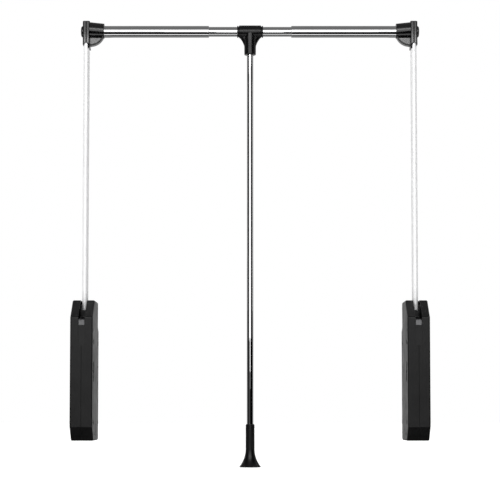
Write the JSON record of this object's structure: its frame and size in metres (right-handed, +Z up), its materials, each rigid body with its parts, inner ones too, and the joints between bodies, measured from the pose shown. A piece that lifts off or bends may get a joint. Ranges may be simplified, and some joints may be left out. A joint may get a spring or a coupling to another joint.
{
  "type": "pull-down clothes rail",
  "caption": "Pull-down wardrobe clothes rail: sprung arms on two side housings carry a telescopic rail with a hanging pull rod and handle.",
  "frame": {"origin": "centre of the four-hole screw pattern on the left housing's outer face, where the lift is fixed to the wardrobe's side", "axes": "+X along the rail to the right housing, +Y to the back of the wardrobe, +Z up; the arms swing down towards -Y"},
  "size_m": [0.715, 0.13, 0.9104],
  "materials": {
    "case_plastic": "black moulded plastic, fine satin grain",
    "black_moulding": "black moulded plastic, satin",
    "chrome_tube": "bright chrome plate on steel tube",
    "satin_tube": "satin nickel plate on flat oval steel tube",
    "bumper_rubber": "grey moulded rubber",
    "black_casting": "black powder-coated zinc casting",
    "gear_steel": "sintered steel, oiled",
    "bright_steel": "bright drawn steel",
    "spring_steel": "oiled spring wire",
    "screw_steel": "zinc-plated steel",
    "bush_plastic": "natural acetal",
    "damper_paint": "black painted steel tube"
  },
  "bodies": {
    "left_housing": {"left_housing_base": "case_plastic", "left_housing_cover": "case_plastic", "left_case_screws": "screw_steel", "left_pivot_axle": "bright_steel", "left_spring_seat": "bright_steel", "left_lift_spring": "spring_steel", "left_damper_cylinder": "damper_paint", "left_slot_bumper": "bumper_rubber"},
    "left_arm_frame": {"left_arm_carrier": "black_casting", "left_sector_gear": "gear_steel", "left_gear_screws": "screw_steel", "left_pivot_bushes": "bush_plastic", "left_arm_tube": "satin_tube", "left_arm_pins": "bright_steel", "left_corner_connector": "black_moulding", "left_connector_screw": "screw_steel", "left_connector_cap": "black_moulding", "left_rail_plug": "black_casting", "left_outer_rail_tube": "chrome_tube", "left_tube_mouth_bush": "bush_plastic"},
    "left_rack_set": {"left_rack": "gear_steel", "left_crosshead": "black_casting", "left_drawbar": "bright_steel", "left_drawbar_nuts": "screw_steel", "left_spring_washer": "bright_steel", "left_damper_rod": "chrome_tube"},
    "right_housing": {"right_housing_base": "case_plastic", "right_housing_cover": "case_plastic", "right_case_screws": "screw_steel", "right_pivot_axle": "bright_steel", "right_spring_seat": "bright_steel", "right_lift_spring": "spring_steel", "right_damper_cylinder": "damper_paint", "right_slot_bumper": "bumper_rubber"},
    "right_arm_frame": {"right_arm_carrier": "black_casting", "right_sector_gear": "gear_steel", "right_gear_screws": "screw_steel", "right_pivot_bushes": "bush_plastic", "right_arm_tube": "satin_tube", "right_arm_pins": "bright_steel", "right_corner_connector": "black_moulding", "right_connector_screw": "screw_steel", "right_connector_cap": "black_moulding", "right_rail_plug": "black_casting", "right_outer_rail_tube": "chrome_tube", "right_tube_mouth_bush": "bush_plastic"},
    "right_rack_set": {"right_rack": "gear_steel", "right_crosshead": "black_casting", "right_drawbar": "bright_steel", "right_drawbar_nuts": "screw_steel", "right_spring_washer": "bright_steel", "right_damper_rod": "chrome_tube"},
    "centre_rail": {"centre_rail_tube": "chrome_tube", "centre_tube_plugs": "bush_plastic"},
    "pull_rod_set": {"rod_tee": "black_moulding", "tee_pin": "bright_steel", "pull_rod": "chrome_tube", "rod_plug": "black_casting", "pull_handle": "black_moulding", "handle_screw": "screw_steel"}
  },
  "joints": [
    {"name": "arm_swing", "type": "hinge", "parent": "left_housing", "child": "left_arm_frame", "pos_m": [0.0225, -0.033, 0.113], "axis": [1, 0, 0], "range_deg": [0, 110], "stiffness_Nm_per_rad": 7, "springref_deg": -34.38},
    {"name": "left_telescope", "type": "slide", "parent": "left_arm_frame", "child": "centre_rail", "axis": [1, 0, 0], "range_m": [-0.0575, 0.0575]},
    {"name": "right_telescope", "type": "slide", "parent": "centre_rail", "child": "right_arm_frame", "axis": [1, 0, 0], "range_m": [-0.0575, 0.0575]},
    {"name": "right_housing_swing", "type": "hinge", "parent": "right_arm_frame", "child": "right_housing", "pos_m": [0.6925, -0.033, 0.113], "axis": [1, 0, 0], "range_deg": [-110, 0]},
    {"name": "left_rack_lift", "type": "slide", "parent": "left_housing", "child": "left_rack_set", "axis": [0, 0, 1], "range_m": [0, 0.0346], "deforming": ["left_lift_spring"]},
    {"name": "right_rack_lift", "type": "slide", "parent": "right_housing", "child": "right_rack_set", "axis": [0, 0, 1], "range_m": [0, 0.0346], "deforming": ["right_lift_spring"]},
    {"name": "rod_swing", "type": "hinge", "parent": "centre_rail", "child": "pull_rod_set", "pos_m": [0.3575, 0.001, 0.719], "axis": [1, 0, 0], "continuous": true}
  ],
  "couplings": [
    {"joint": "right_housing_swing", "follows": "arm_swing", "ratio": -1},
    {"joint": "left_rack_lift", "follows": "arm_swing", "m_per_rad": 0.018},
    {"joint": "right_rack_lift", "follows": "arm_swing", "m_per_rad": 0.018}
  ]
}
